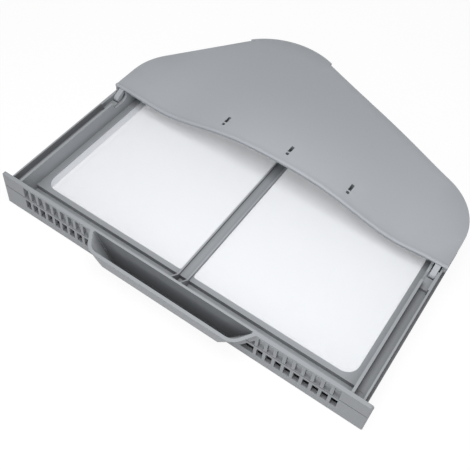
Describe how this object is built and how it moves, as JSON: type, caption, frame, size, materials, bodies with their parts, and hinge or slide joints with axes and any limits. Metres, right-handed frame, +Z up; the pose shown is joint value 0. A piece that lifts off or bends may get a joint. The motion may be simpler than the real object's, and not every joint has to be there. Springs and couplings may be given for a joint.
{
  "type": "tumble dryer lint filter",
  "caption": "Drawer-shaped lint filter: moulded tray with vented front bar and finger grip, fine mesh floor and a domed hinged cover over its rear part.",
  "frame": {"origin": "middle of the footprint, on the plane the filter lies on", "axes": "+X along the front bar, +Y from the bar towards the rear tab, +Z up through the cover"},
  "size_m": [0.38, 0.3458, 0.0616],
  "materials": {
    "frame_plastic": "satin",
    "lid_plastic": "satin",
    "mesh": "fine weave"
  },
  "bodies": {
    "tray": {"frame": "frame_plastic", "left_mesh": "mesh", "right_mesh": "mesh"},
    "cover": {"lid": "lid_plastic"}
  },
  "joints": [
    {"name": "lid_hinge", "type": "hinge", "parent": "tray", "child": "cover", "pos_m": [0, -0.00993, 0.034], "axis": [1, 0, 0], "range_deg": [0, 100]}
  ]
}
